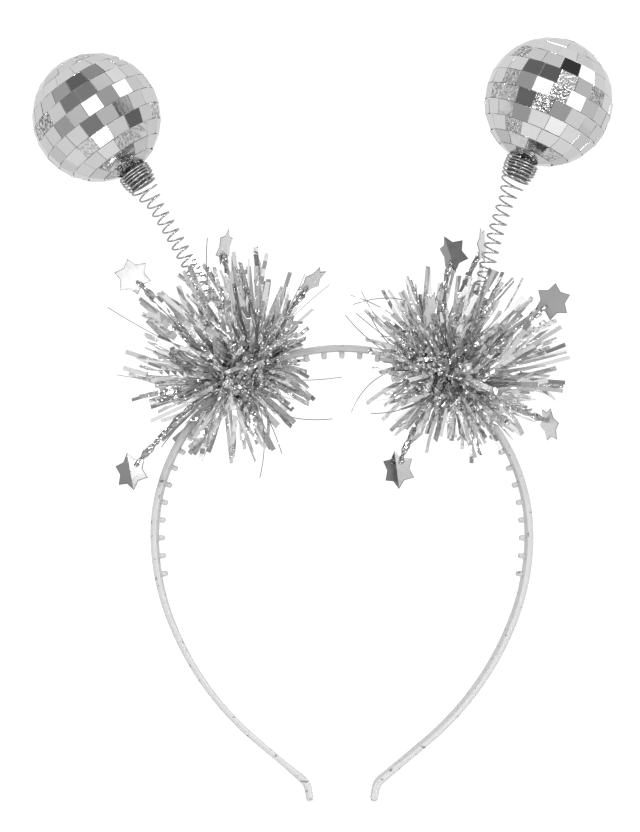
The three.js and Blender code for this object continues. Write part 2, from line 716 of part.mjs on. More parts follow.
// The room of a spring inside its tuft: a box round the turns on the band and a bore round the coil
function springRoom({ foot, coilFoot, middleLine }) {
  const turned = new THREE.Matrix4().makeBasis(foot.along, foot.wide, foot.up);
  const along = wrapTurns * wrapPitch + 2 * wireRadius + 4 * gap;
  const across = foot.width + 4 * gap + 4 * wireRadius;
  const over = foot.thickness + 4 * gap + 4 * wireRadius + coilFoot;
  const box = new THREE.BoxGeometry(along, across, over);
  const boxMiddle = foot.point.clone().addScaledVector(foot.up, coilFoot / 2);
  const wraps = toSolid(box.applyMatrix4(turned.clone().setPosition(boxMiddle)));
  const boreRadius = (coilRadius + wireRadius + gap) / Math.cos(Math.PI / boreSides);
  const rings = [];
  for (let step = 0; step <= boreSteps; step += 1) {
    const share = (step / boreSteps) * boreShare;
    const tangent = middleLine.getTangentAt(share);
    const middle = middleLine.getPointAt(share);
    if (step === 0) middle.addScaledVector(tangent, -2 * wireRadius - gap);
    const side = depth.clone().cross(tangent);
    rings.push(Array.from({ length: boreSides }, (_, place) => {
      const angle = (2 * Math.PI * place) / boreSides;
      return middle.clone().addScaledVector(side, boreRadius * Math.cos(angle))
        .addScaledVector(depth, boreRadius * Math.sin(angle));
    }));
  }
  return wraps.add(toSolid(loft(rings)));
}

const headband = new THREE.Group();
headband.add(toMesh('band', bandSolid(), clearPlastic));
for (const antenna of antennae.map(antennaFrame)) {
  const { side } = antenna;
  const ownStars = stars.filter((star) => star.side === side);
  headband.add(toMesh(`spring_${side}`, wireSolid(springPoints(antenna)), springSteel));
  headband.add(toMesh(`ball_${side}`, ballSolid(antenna), mirrorTile));
  headband.add(toMesh(`tuft_${side}`, tuftSolid(antenna, ownStars), tinselFoil));
  ownStars.forEach((star, place) => {
    headband.add(toMesh(`star_${side}_${place + 1}`, starSolid(star, antenna), starFoil));
  });
}

export default headband;
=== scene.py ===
# Disco ball headband: clear band, mirror balls on springs, tinsel tufts and foil stars.
# Lengths below are in millimetres and angles in degrees, and makePiece turns lengths into metres. Only the
# finishes' depths are in metres, and their grains are per metre.
import math

import bpy
import numpy as np
from mathutils import Matrix


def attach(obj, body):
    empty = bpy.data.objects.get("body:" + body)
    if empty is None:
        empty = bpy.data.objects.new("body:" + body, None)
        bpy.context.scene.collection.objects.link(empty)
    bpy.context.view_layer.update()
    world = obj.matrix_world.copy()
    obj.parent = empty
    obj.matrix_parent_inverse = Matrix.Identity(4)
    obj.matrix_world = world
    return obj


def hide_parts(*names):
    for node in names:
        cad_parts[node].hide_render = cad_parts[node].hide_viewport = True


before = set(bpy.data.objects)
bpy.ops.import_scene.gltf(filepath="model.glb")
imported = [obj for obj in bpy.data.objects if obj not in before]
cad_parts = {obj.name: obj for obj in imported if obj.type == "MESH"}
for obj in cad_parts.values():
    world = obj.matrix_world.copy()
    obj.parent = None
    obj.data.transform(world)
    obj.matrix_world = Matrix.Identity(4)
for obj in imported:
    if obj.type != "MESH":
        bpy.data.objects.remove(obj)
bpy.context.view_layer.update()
millimetre = 0.001
depth = np.array([0.0, 1.0, 0.0])
print("frame loaded")

cameraSettings = {"place": (-8.1, -700, -23.7), "lens": 81.86, "sensor": 36, "nearest": 10}


# A level camera looking along +Y, so that one pixel is 0.37 mm in the band's plane.
def makeCamera():
    data = bpy.data.cameras.new("camera")
    data.sensor_fit = "AUTO"
    data.sensor_width = cameraSettings["sensor"]
    data.lens = cameraSettings["lens"]
    data.clip_start = cameraSettings["nearest"] * millimetre
    camera = bpy.data.objects.new("camera", data)
    camera.location = [value * millimetre for value in cameraSettings["place"]]
    camera.rotation_euler = (math.radians(90), 0, 0)
    bpy.context.scene.collection.objects.link(camera)
    bpy.context.scene.camera = camera


makeCamera()
print("camera placed")


# Each vector divided by its own length.
def unit(vectors):
    return vectors / np.linalg.norm(vectors, axis=-1, keepdims=True)


# Sides of several runs of rings, each point joined to the next in its ring and to the ring above,
# with a flat cap on the first and the last ring. Rings turn right-handed about the way they travel.
def ringFaces(runs, rows, columns):
    row, column = np.meshgrid(np.arange(rows - 1), np.arange(columns), indexing="ij")
    here = row * columns + column
    beside = row * columns + (column + 1) % columns
    side = np.stack([here, beside, beside + columns, here + columns], axis=-1).reshape(-1, 4)
    cap = np.stack([np.arange(columns)[::-1], (rows - 1) * columns + np.arange(columns)])
    start = (np.arange(runs) * rows * columns)[:, None, None]
    return (side + start).reshape(-1, 4).tolist() + (cap + start).reshape(-1, columns).tolist()


# One mesh from parts of shape runs by rows by columns by 3, each part a set of closed skins. The fields
# are one number for each run, each ring or each point of a ring, stored on the points.
def makePiece(name, parts, finish, slotName, nodes=(), smooth=True, **fields):
    points, faces, stored = [], [], {field: [] for field in fields}
    start = 0
    for number, part in enumerate(parts):
        runs, rows, columns = part.shape[:3]
        faces += [[corner + start for corner in face] for face in ringFaces(runs, rows, columns)]
        start += runs * rows * columns
        points.append(part.reshape(-1, 3))
        for field, values in fields.items():
            value = np.asarray(values[number], float)
            value = value.reshape(value.shape + (1,) * (3 - value.ndim))
            stored[field].append(np.broadcast_to(value, (runs, rows, columns)).reshape(-1))
    mesh = bpy.data.meshes.new(name)
    mesh.from_pydata((np.concatenate(points) * millimetre).tolist(), [], faces)
    for field, values in stored.items():
        attribute = mesh.attributes.new(field, "FLOAT", "POINT")
        attribute.data.foreach_set("value", np.concatenate(values).astype(np.float32))
    mesh.polygons.foreach_set("use_smooth", np.full(len(mesh.polygons), smooth))
    mesh.materials.append(finish)
    mesh.update()
    piece = bpy.data.objects.new(name, mesh)
    bpy.context.scene.collection.objects.link(piece)
    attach(piece, "root")
    if nodes:
        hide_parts(*nodes)


# A ring between an ellipse and a box: cosine and sine raised to two over the roundness.
def roundedRing(columns, roundness):
    angle = 2 * np.pi * np.arange(columns) / columns
    across = np.sign(np.cos(angle)) * np.abs(np.cos(angle)) ** (2 / roundness)
    over = np.sign(np.sin(angle)) * np.abs(np.sin(angle)) ** (2 / roundness)
    return across, over


# A round wire along a path. Side directions are carried along without twist: the turn from each point's
# own side to the next one's is added up and taken off.
def wireAlong(path, radius, columns):
    tangent = unit(np.gradient(path, axis=0))
    helper = np.eye(3)[np.argmin(np.abs(tangent), axis=1)]
    side = unit(np.cross(tangent, helper))
    over = np.cross(tangent, side)
    turned = np.arctan2((side[:-1] * over[1:]).sum(1), (side[:-1] * side[1:]).sum(1))
    total = np.concatenate([[0], np.cumsum(turned)])[:, None]
    first = np.cos(total) * side + np.sin(total) * over
    second = np.cross(tangent, first)
    angle = (2 * np.pi * np.arange(columns) / columns)[None, :, None]
    radius = np.broadcast_to(radius, len(path))[:, None, None]
    return path[:, None] + radius * (np.cos(angle) * first[:, None] + np.sin(angle) * second[:, None])


# A right-handed turn by degrees about one of the three axes, as a matrix.
def turnAbout(axis, degrees):
    cosine, sine = math.cos(math.radians(degrees)), math.sin(math.radians(degrees))
    matrix = np.eye(3)
    first, second = (axis + 1) % 3, (axis + 2) % 3
    matrix[first, first] = matrix[second, second] = cosine
    matrix[first, second], matrix[second, first] = -sine, sine
    return matrix


# Lumps on a round piece: a sum of sine waves, each with its height, its turns round the piece, its turns
# along it and the part of the seed that it starts at.
def lumpsOf(waves, around, along, seed=0):
    return sum(height * np.sin(turns * around + run * along + start * seed)
               for height, turns, run, start in waves)


# A value for a socket: another node's output is linked to it, and a number is set on it.
def feed(tree, socket, value):
    if isinstance(value, bpy.types.NodeSocket):
        tree.links.new(value, socket)
    else:
        socket.default_value = value


# The named output of a new node. Each value is fed to the socket of its name, or is a property of the node
# where there is no such socket.
def addNode(tree, kind, output, **values):
    node = tree.nodes.new(kind)
    for name, value in values.items():
        if name in node.inputs:
            feed(tree, node.inputs[name], value)
        else:
            setattr(node, name, value)
    return node.outputs[output]


# Noise over a piece's own coordinates.
def addNoise(tree, scale, detail):
    place = addNode(tree, "ShaderNodeTexCoord", "Object")
    return addNode(tree, "ShaderNodeTexNoise", "Fac", Vector=place, Scale=scale, Detail=detail)


# A value carried from one range to another.
def addRange(tree, value, toMin, toMax, fromMin=0.0, fromMax=1.0, clamp=True):
    sockets = {"Value": value, "To Min": toMin, "To Max": toMax, "From Min": fromMin, "From Max": fromMax}
    return addNode(tree, "ShaderNodeMapRange", "Result", clamp=clamp, **sockets)


# The sum, difference or product of two values.
def addMath(tree, operation, first, second):
    node = tree.nodes.new("ShaderNodeMath")
    node.operation = operation
    feed(tree, node.inputs[0], first)
    feed(tree, node.inputs[1], second)
    return node.outputs[0]


# One grey on all three channels of a shader's colour.
def joinGrey(tree, grey, shader):
    colour = addNode(tree, "ShaderNodeCombineColor", "Color", Red=grey, Green=grey, Blue=grey)
    feed(tree, shader.inputs["Base Color"], colour)


# A new material with its node tree and its shader.
def newFinish(name):
    finish = bpy.data.materials.new(name)
    finish.use_nodes = True
    shader = finish.node_tree.nodes["Principled BSDF"]
    return finish, finish.node_tree, shader


# The crinkle shade depth of each look is the most by which painted shade darkens crinkled foil.
foilLooks = {
    "mirrorTile": {"dark": 0.7, "light": 0.82, "smooth": 0.02, "rough": 0.07, "metal": 1,
                   "grain": 1000, "depth": 0.0008, "crinkleShadeDepth": 0.8, "hollows": (0.46, 0.56)},
    "tinselFoil": {"dark": 0.34, "light": 1.0, "smooth": 0.02, "rough": 0.08, "metal": 0.82,
                   "grain": 620, "depth": 0.0009, "crinkleShadeDepth": 0.88, "hollows": (0.53, 0.57)},
    "starFoil": {"dark": 0.17, "light": 0.92, "smooth": 0.08, "rough": 0.2, "metal": 1,
                 "grain": 560, "depth": 0.0009, "crinkleShadeDepth": 0.75, "hollows": (0.5, 0.56)},
}
foilNoise = {"grainDetail": 1.2, "hazeCoarser": 6, "hazeDetail": 2.0}


# Bright foil or mirror: the tone field sets how light each strip or tile is and may go past either end.
# Soft noise and the satin field set its gloss. The crinkle field sets how far a finer noise dents it, and
# how far painted shade darkens it where that noise is high: the grey is multiplied by one less crinkle
# times the painted crinkle shade.
def makeFoil(name):
    look = foilLooks[name]
    finish, tree, shader = newFinish(name)
    tone, crinkle, satin = [addNode(tree, "ShaderNodeAttribute", "Fac", attribute_name=field)
                            for field in ("tone", "crinkle", "satin")]
    grain = addNoise(tree, look["grain"], foilNoise["grainDetail"])
    haze = addNoise(tree, look["grain"] / foilNoise["hazeCoarser"], foilNoise["hazeDetail"])
    gloss = addRange(tree, haze, look["smooth"], look["rough"])
    grey = addRange(tree, tone, look["dark"], look["light"], clamp=False)
    # Painted shade on the crinkles, where the fine noise is high.
    crinkleShade = addRange(tree, grain, 0.0, look["crinkleShadeDepth"], *look["hollows"])
    left = addMath(tree, "SUBTRACT", 1, addMath(tree, "MULTIPLY", crinkleShade, crinkle))
    dents = addNode(tree, "ShaderNodeBump", "Normal", Height=grain, Strength=crinkle,
                    Distance=look["depth"])
    joinGrey(tree, addMath(tree, "MULTIPLY", left, grey), shader)
    feed(tree, shader.inputs["Roughness"], addMath(tree, "ADD", gloss, satin))
    feed(tree, shader.inputs["Normal"], dents)
    shader.inputs["Metallic"].default_value = look["metal"]
    return finish


plasticLook = {
    "plain": 0.69, "edge": 0.86, "clear": 0.12, "refraction": 1.49, "smooth": 0.3, "rough": 0.45,
    "haze": 90, "hazeDetail": 2.0, "wave": 0.3, "waveDepth": 0.0004,
    "bubbles": 620, "bubblesDetail": 0.0, "bubbleFrom": (0.72, 0.8), "bubbleGrey": 0.4,
}


# Clear styrene gone slightly milky. The edge field paints light and shade on it: it makes it lighter as
# painted highlights, or greyer as painted shade where it is below nought.
# Soft haze varies its gloss and waves its face, and small bubbles, where a fine noise is high, darken it.
def makePlastic():
    look = plasticLook
    finish, tree, shader = newFinish("clearPlastic")
    edge = addNode(tree, "ShaderNodeAttribute", "Fac", attribute_name="edge")
    haze = addNoise(tree, look["haze"], look["hazeDetail"])
    fine = addNoise(tree, look["bubbles"], look["bubblesDetail"])
    ripple = addNode(tree, "ShaderNodeBump", "Normal", Height=haze, Strength=look["wave"],
                     Distance=look["waveDepth"])
    grey = addRange(tree, edge, look["plain"], look["edge"], clamp=False)
    bubbles = addRange(tree, fine, 1.0, look["bubbleGrey"], *look["bubbleFrom"])
    joinGrey(tree, addMath(tree, "MULTIPLY", grey, bubbles), shader)
    feed(tree, shader.inputs["Roughness"], addRange(tree, haze, look["smooth"], look["rough"]))
    feed(tree, shader.inputs["Normal"], ripple)
    shader.inputs["Transmission Weight"].default_value = look["clear"]
    shader.inputs["IOR"].default_value = look["refraction"]
    return finish


steelLook = {"dark": 0.3, "light": 0.62, "smooth": 0.26, "rough": 0.34, "marks": 700, "marksDetail": 2.0}


# Drawn wire: fine noise varies its grey and its gloss together.
def makeSteel():
    look = steelLook
    finish, tree, shader = newFinish("springSteel")
    marks = addNoise(tree, look["marks"], look["marksDetail"])
    joinGrey(tree, addRange(tree, marks, look["dark"], look["light"]), shader)
    feed(tree, shader.inputs["Roughness"], addRange(tree, marks, look["smooth"], look["rough"]))
    shader.inputs["Metallic"].default_value = 1
    return finish


coreLook = {
    "colour": (0.42, 0.42, 0.43, 1), "gloss": 0.45, "grain": 900, "detail": 3.0, "dent": 0.6,
    "depth": 0.0002,
}


# The glued foam that shows in the seams: grey with a fine grain.
def makeCore():
    look = coreLook
    finish, tree, shader = newFinish("ballCore")
    grain = addNoise(tree, look["grain"], look["detail"])
    dents = addNode(tree, "ShaderNodeBump", "Normal", Height=grain, Strength=look["dent"],
                    Distance=look["depth"])
    feed(tree, shader.inputs["Normal"], dents)
    shader.inputs["Base Color"].default_value = look["colour"]
    shader.inputs["Roughness"].default_value = look["gloss"]
    return finish


mirrorTile, tinselFoil, starFoil = [makeFoil(name) for name in foilLooks]
clearPlastic, springSteel, ballCore = makePlastic(), makeSteel(), makeCore()
print("finishes made")

bandSettings = {
    # The length and turn of each stretch from the crown outwards. A bend's length is radius times angle.
    "stretches": [
        (69.2 * math.radians(90), 90),
        (86 * math.radians(20), 20),
        (110 * math.radians(30), 30),
        (22, 0),
        (6 * math.radians(40), -40),
        (4.5, 0),
    ],
    "width": 7.5,
    "thickness": 2.6,
    "along": (0, 0.46, 0.66, 0.92, 0.97, 1),
    "widths": (1, 1, 0.9, 0.66, 0.62, 0.6),
    "thicknesses": (1, 0.98, 0.94, 0.84, 1.08, 1.04),
    "twistLeft": (0, 5, -5, -8, -4, 0),
    "twistRight": (0, 4, 6, 8, 4, 0),
    "roundness": 5,
    "tipRound": 1.2,
    "tipSwing": (84, 9),
    "rows": 520,
    "columns": 40,
    "fineSteps": 9000,
    # Painted light and shade on the strip: a painted highlight on the corner columns, painted shade on the
    # outer rims and on the crown.
    "cornerColumn": 2,
    "rimColumns": 6,
    "cornerShine": 0.6,
    "outerShade": -0.4,
    "crownShade": -1.0,
    "crownReach": 0.42,
    "toothPitch": 6.85,
    "teethEachSide": 18,
    "toothHalves": (1.5, 1.0),
    "toothRoot": 0.6,
    "toothShaft": 1.5,
    "toothDome": 1.0,
    "toothSwing": (86, 8),
    "toothDraw": 0.7,
    "toothRows": 3,
    "toothColumns": 20,
    "toothRoundness": 3,
    # Painted shade: the teeth are greyer than the strip.
    "toothShade": -0.2,
}
bandLengths = [length for length, turn in bandSettings["stretches"]]
bandHalf = sum(bandLengths)


# The band's middle line by distance from the crown: its heading changes evenly along each bend, and its
# place is the running sum of small steps along that heading. Left of the crown it is mirrored.
def bandLine(distance):
    knots = np.concatenate([[0], np.cumsum(bandLengths)])
    headings = np.concatenate([[0], np.cumsum([turn for length, turn in bandSettings["stretches"]])])
    fine = np.linspace(0, bandHalf, bandSettings["fineSteps"])
    heading = np.radians(np.interp(fine, knots, headings))
    step = fine[1]
    across = np.concatenate([[0], np.cumsum((np.cos(heading)[1:] + np.cos(heading)[:-1]) / 2 * step)])
    down = np.concatenate([[0], np.cumsum((np.sin(heading)[1:] + np.sin(heading)[:-1]) / 2 * step)])
    side = np.where(distance < 0, -1.0, 1.0)
    here = np.interp(np.abs(distance), fine, heading)
    flat = np.zeros_like(here)
    height = bandSettings["thickness"] / 2 - np.interp(np.abs(distance), fine, down)
    point = np.stack([side * np.interp(np.abs(distance), fine, across), flat, height], axis=-1)
    along = np.stack([np.cos(here), flat, -side * np.sin(here)], axis=-1)
    outward = np.stack([side * np.sin(here), flat, np.cos(here)], axis=-1)
    return point, along, outward


# The band's cross-section axes and sizes: widths, thicknesses and twists run straight between the stations.
def bandSection(distance):
    distance = np.asarray(distance, float)
    point, along, outward = bandLine(distance)
    share = np.abs(distance) / bandHalf
    column = {name: np.interp(share, bandSettings["along"], bandSettings[name])
              for name in ("widths", "thicknesses", "twistLeft", "twistRight")}
    twist = np.radians(np.where(distance < 0, column["twistLeft"], column["twistRight"]))[..., None]
    up = outward * np.cos(twist) + depth * np.sin(twist)
    wide = depth * np.cos(twist) - outward * np.sin(twist)
    width = bandSettings["width"] * column["widths"]
    thickness = bandSettings["thickness"] * column["thicknesses"]
    return {"point": point, "along": along, "up": up, "wide": wide, "width": width, "thickness": thickness}


# The strip: a rounded box section carried along the middle line, pulled in on a quarter circle at the tips.
def bandStrip():
    end = bandSettings["tipRound"]
    swing = np.radians(np.linspace(0, *bandSettings["tipSwing"]))
    tip = bandHalf - end + end * np.sin(swing)
    middle = np.linspace(-bandHalf + end, bandHalf - end, bandSettings["rows"])[1:-1]
    distance = np.concatenate([-tip[::-1], middle, tip])
    pull = np.concatenate([(1 - np.cos(swing))[::-1], np.zeros(len(middle)), 1 - np.cos(swing)]) * end
    section = bandSection(distance)
    across, over = roundedRing(bandSettings["columns"], bandSettings["roundness"])
    halfWidth = (section["width"] / 2 - pull)[:, None] * across
    halfThickness = (section["thickness"] / 2 - pull)[:, None] * over
    points = section["point"][:, None] + halfWidth[..., None] * section["wide"][:, None]
    return (points + halfThickness[..., None] * section["up"][:, None])[None]


# The teeth: a rounded box section rises straight from inside the strip, then closes on a dome whose height
# follows a sine and whose size follows a power of the cosine.
def bandTeeth():
    sizes = bandSettings
    reach = sizes["teethEachSide"]
    section = bandSection(np.arange(-reach, reach + 1) * sizes["toothPitch"])
    swing = np.radians(np.linspace(0, *sizes["toothSwing"]))
    shaft = np.linspace(-sizes["toothRoot"], sizes["toothShaft"], sizes["toothRows"], endpoint=False)
    height = np.concatenate([shaft, sizes["toothShaft"] + sizes["toothDome"] * np.sin(swing)])
    share = np.concatenate([np.ones(len(shaft)), np.cos(swing) ** sizes["toothDraw"]])
    across, over = roundedRing(sizes["toothColumns"], sizes["toothRoundness"])
    halfBreadth, halfLength = sizes["toothHalves"]
    inner = section["point"] - section["up"] * section["thickness"][:, None] / 2
    axis = {name: section[name][:, None, None] for name in ("along", "up", "wide")}
    grid = (share[:, None] * across)[None, :, :, None], (share[:, None] * over)[None, :, :, None]
    points = inner[:, None, None] - height[None, :, None, None] * axis["up"]
    return points + halfBreadth * grid[0] * axis["wide"] + halfLength * grid[1] * axis["along"]


# The edge field of the strip, painted light and shade: painted highlights as lighter lines at its four
# corners, painted shade greying the outer half of each rim, and painted shade greying the crown by the
# square root of the nearness to its middle.
def bandPaintedLight(strip):
    sizes = bandSettings
    halfRing = sizes["columns"] // 2
    column = np.arange(sizes["columns"])
    fromRim = np.abs((column + halfRing // 2) % halfRing - halfRing // 2)
    corner = np.where(fromRim == sizes["cornerColumn"], sizes["cornerShine"], 0)
    outerRim = (column > 0) & (column < halfRing) & (fromRim < sizes["rimColumns"])
    outer = np.where(outerRim, sizes["outerShade"], 0)
    middle = np.linspace(-1, 1, strip.shape[1])
    crown = sizes["crownShade"] * np.clip(1 - np.abs(middle) / sizes["crownReach"], 0, 1) ** 0.5
    return (corner + outer)[None, None] + crown[None, :, None]


bandSkin, teethSkin = bandStrip(), bandTeeth()
# The edge field paints highlights and shade on the strip, and paints shade on the teeth.
makePiece("bandShell", [bandSkin, teethSkin], clearPlastic, "clear_plastic", ["band"],
          edge=[bandPaintedLight(bandSkin), [[bandSettings["toothShade"]]]])
print("band made")

antennaSettings = {
    "left": {
        "sign": -1, "footGap": 5.5, "lean": 29.9, "ballLean": 34, "reach": 1,
        "slide": 0, "across": 1, "deep": 0.86, "up": 1, "inward": 0.8, "hairsInward": 0, "seed": 11,
    },
    "right": {
        "sign": 1, "footGap": 6.5, "lean": 18.4, "ballLean": 23.5, "reach": 1.005,
        "slide": -4, "across": 0.98, "deep": 0.86, "up": 0.91, "inward": 1, "hairsInward": 6, "seed": 29,
    },
}
springSettings = {
    "gap": 0.3, "wireRadius": 0.35, "coilRadius": 2.85, "coilPitch": 3.6, "flareRadius": 5, "flareTurns": 2,
    "collarRadius": 6, "collarTurns": 3.5, "collarPitch": 1.1, "neckTurns": 2.5, "neckPitch": 1.5,
    "wrapTurns": 2, "wrapPitch": 1.05, "wrapPower": 0.5, "risePull": 3.0, "riseSlope": 0.2, "riseRows": 11,
    "reach": 110, "stand": 10, "ease": 34, "bendRows": 400, "neckRows": 40, "stepsEachTurn": 30,
    "columns": 10,
}
neckLength = (springSettings["collarTurns"] * springSettings["collarPitch"]
              + springSettings["neckTurns"] * springSettings["neckPitch"])
ballSettings = {
    "radius": 23.75, "rows": 13, "tileWidth": 6.9, "stagger": 0.37, "seam": 0.12, "bevel": 0.07,
    "tileDepth": 1.0, "rimDrop": 0.7, "faceDraw": 1.4, "tilt": 0.018, "capCorners": 8,
    "crinkledShare": 0.19, "crinkled": (0.2, 1), "plainCrinkle": 0.004, "capTone": 0.9, "capCrinkle": 0.02,
    "core": 22.95, "coreGrid": (48, 72), "poleGap": 0.03,
    "neckSink": 2, "neckClear": 0.3, "neckGrid": (34, 30),
    "neckRadius": ((0, 0.05, 0.12, 0.42, 1), (0.9, 2.6, 3.6, 4.3, 4.3)),
    "neckWaves": ((0.5, 4, 13, 0), (0.4, 9, -41, 0), (0.15, 17, 96, 0), (0.15, 11, 38, 0)),
    "neckLumps": ((0, 0.1, 0.5, 1), (0.2, 0.9, 0.8, 0.6)),
    # Painted shade: the neck's tone is below nought, darker than the foil's own grey, for the shade inside
    # the collar's turns.
    "neckShadeTone": -0.3, "neckCrinkle": 0.01, "neckSatin": 0.2,
}


# An antenna's foot on the band, its ball's middle and axis, and the spring's middle line: a cubic bend from
# the foot to the neck, then straight to the ball, with the distance along it.
def antennaLines(side):
    own, wire = antennaSettings[side], springSettings
    foot = bandSection(own["sign"] * own["footGap"] * bandSettings["toothPitch"])

    def leaning(angle):
        turn = math.radians(angle)
        return np.array([own["sign"] * math.sin(turn), 0, math.cos(turn)])

    ballUp = leaning(own["ballLean"])
    ballMiddle = foot["point"] + leaning(own["lean"]) * wire["reach"] * own["reach"]
    clear = ballSettings["radius"] + wire["wireRadius"] + wire["gap"]
    top = ballMiddle - ballUp * math.sqrt(clear ** 2 - wire["collarRadius"] ** 2)
    neckFoot = top - ballUp * neckLength
    coilFoot = foot["thickness"] / 2 + 2 * wire["gap"] + 3 * wire["wireRadius"]
    start = foot["point"] + foot["up"] * coilFoot
    share = np.linspace(0, 1, wire["bendRows"])[:, None]
    middle = (start * (1 - share) ** 3 + 3 * (start + foot["up"] * wire["stand"]) * share * (1 - share) ** 2
              + 3 * (neckFoot - ballUp * wire["ease"]) * share ** 2 * (1 - share) + neckFoot * share ** 3)
    straight = neckFoot + (top - neckFoot) * np.linspace(0, 1, wire["neckRows"])[1:, None]
    middle = np.concatenate([middle, straight])
    length = np.concatenate([[0], np.cumsum(np.linalg.norm(np.diff(middle, axis=0), axis=1))])
    return {**own, "foot": foot, "ballUp": ballUp, "ballMiddle": ballMiddle, "coilFoot": coilFoot,
            "middle": middle, "length": length}


antennae = {side: antennaLines(side) for side in antennaSettings}


# The wire's path: two flattened turns round the band, a smooth rise up its back edge, and then turns about
# the middle line whose height and radius run straight between the coil, the flare, the neck and the collar.
def springPath(lines):
    wire, foot = springSettings, lines["foot"]
    onFoot = np.stack([foot["along"], foot["wide"], foot["up"]])
    halfWidth = foot["width"] / 2 + wire["gap"] + wire["wireRadius"]
    halfThickness = foot["thickness"] / 2 + wire["gap"] + wire["wireRadius"]
    steps = wire["wrapTurns"] * wire["stepsEachTurn"]
    turned = np.linspace(0, wire["wrapTurns"] * 2 * np.pi, steps, endpoint=False)
    wrapEnd = -wire["wrapPitch"] * wire["wrapTurns"] / 2
    wraps = np.stack([
        wire["wrapPitch"] * (wire["wrapTurns"] / 2 - turned / (2 * np.pi)),
        halfWidth * np.sign(np.cos(turned)) * np.abs(np.cos(turned)) ** wire["wrapPower"],
        -halfThickness * np.sign(np.sin(turned)) * np.abs(np.sin(turned)) ** wire["wrapPower"],
    ], axis=-1)
    startAngle = math.acos((wrapEnd - wire["wireRadius"]) / wire["coilRadius"])
    low = np.array([wrapEnd, halfWidth, 0])
    high = np.array([wire["coilRadius"] * math.cos(startAngle), wire["coilRadius"] * math.sin(startAngle),
                     lines["coilFoot"]])
    leave = np.array([0, 0, wire["risePull"]])
    arrive = np.array([-math.sin(startAngle), math.cos(startAngle), wire["riseSlope"]]) * wire["risePull"]
    share = np.linspace(0, 1, wire["riseRows"], endpoint=False)[:, None]
    rise = ((2 * share ** 3 - 3 * share ** 2 + 1) * low + (share ** 3 - 2 * share ** 2 + share) * leave
            + (3 * share ** 2 - 2 * share ** 3) * high + (share ** 3 - share ** 2) * arrive)
    start = foot["point"] + np.concatenate([wraps, rise]) @ onFoot
    coilLength = lines["length"][-1] - neckLength - wire["flareTurns"] * wire["coilPitch"]
    turns = np.cumsum([0, coilLength / wire["coilPitch"], wire["flareTurns"], wire["neckTurns"],
                       wire["collarTurns"]])
    pitches = [wire["coilPitch"], wire["coilPitch"], wire["neckPitch"], wire["collarPitch"]]
    heights = np.concatenate([[0], np.cumsum(np.diff(turns) * pitches)])
    radii = [wire["coilRadius"]] * 2 + [wire["flareRadius"]] + [wire["collarRadius"]] * 2
    turn = np.linspace(0, turns[-1], int(turns[-1] * wire["stepsEachTurn"]))
    height = np.interp(turn, turns, heights)
    radius = np.interp(turn, turns, radii)[:, None]

    def atHeight(vectors):
        return np.stack([np.interp(height, lines["length"], column) for column in vectors.T], axis=-1)

    onLine = atHeight(lines["middle"])
    along = unit(atHeight(unit(np.gradient(lines["middle"], axis=0))))
    angle = (startAngle + 2 * np.pi * turn)[:, None]
    coil = onLine + radius * (np.cos(angle) * np.cross(depth, along) + np.sin(angle) * depth)
    return np.concatenate([start, coil])


for side, lines in antennae.items():
    wire = wireAlong(springPath(lines), springSettings["wireRadius"], springSettings["columns"])
    makePiece(f"coil_{side}", [wire[None]], springSteel, "spring_steel", [f"spring_{side}"])
print("springs made")


# A ball's own axes: its neck points down its third axis.
def ballTurned(points, lines):
    axes = np.stack([np.cross(depth, lines["ballUp"]), depth, lines["ballUp"]])
    return points @ axes + lines["ballMiddle"]


# Points of a sphere by their fall from the neck and their turn round it.
def spherePoint(fall, turn, radius):
    ring, height = np.sin(fall), -np.cos(fall) + 0 * turn
    return np.stack([ring * np.cos(turn), ring * np.sin(turn), height], axis=-1) * radius


# Flat slabs over corners that lie on the ball: a back ring sunk in the core, the rim, and a face drawn in
# by the bevel, tipped a little about the slab's middle.
def tileSlabs(corners, random):
    sizes = ballSettings
    middle = corners.mean(axis=1, keepdims=True)
    out = unit(np.cross(corners[:, 2] - corners[:, 0], corners[:, 3] - corners[:, 1]))[:, None]
    arm = corners - middle
    reach = np.linalg.norm(arm, axis=-1, keepdims=True)
    tip = unit(np.cross(out, random.normal(size=(len(corners), 1, 3))))
    lift = (arm * tip).sum(-1, keepdims=True) * random.normal(size=(len(corners), 1, 1)) * sizes["tilt"]
    rim = corners + out * (lift - sizes["bevel"] * sizes["rimDrop"])
    face = middle + arm * (1 - sizes["bevel"] * sizes["faceDraw"] / reach) + out * lift
    return np.stack([corners - out * sizes["tileDepth"], rim, face], axis=1)


# Tiles in rows round the neck's line: each lies between two falls and two turns, less half a seam.
def ballTiles(random):
    sizes = ballSettings
    rowAngle = np.pi / sizes["rows"]
    numbers = np.arange(1, sizes["rows"] - 1)
    girths = 2 * np.pi * sizes["radius"] * np.sin((numbers + 0.5) * rowAngle)
    counts = np.round(girths / sizes["tileWidth"]).astype(int)
    row = np.repeat(numbers, counts)
    count = np.repeat(counts, counts)
    tile = np.concatenate([np.arange(one) for one in counts]) + (row * sizes["stagger"]) % 1
    half = sizes["seam"] / 2 / sizes["radius"]
    fall = (row[:, None] + np.array([0, 0, 1, 1])) * rowAngle + np.array([1, 1, -1, -1]) * half
    turn = 2 * np.pi * (tile[:, None] + np.array([0, 1, 1, 0])) / count[:, None]
    turn = turn + np.array([1, -1, -1, 1]) * half / np.sin(fall)
    tiles = tileSlabs(spherePoint(fall, turn, sizes["radius"]), random)
    capFall = np.full((1, sizes["capCorners"]), np.pi - rowAngle + half)
    capTurn = 2 * np.pi * np.arange(sizes["capCorners"])[None] / sizes["capCorners"]
    return tiles, tileSlabs(spherePoint(capFall, capTurn, sizes["radius"]), random)


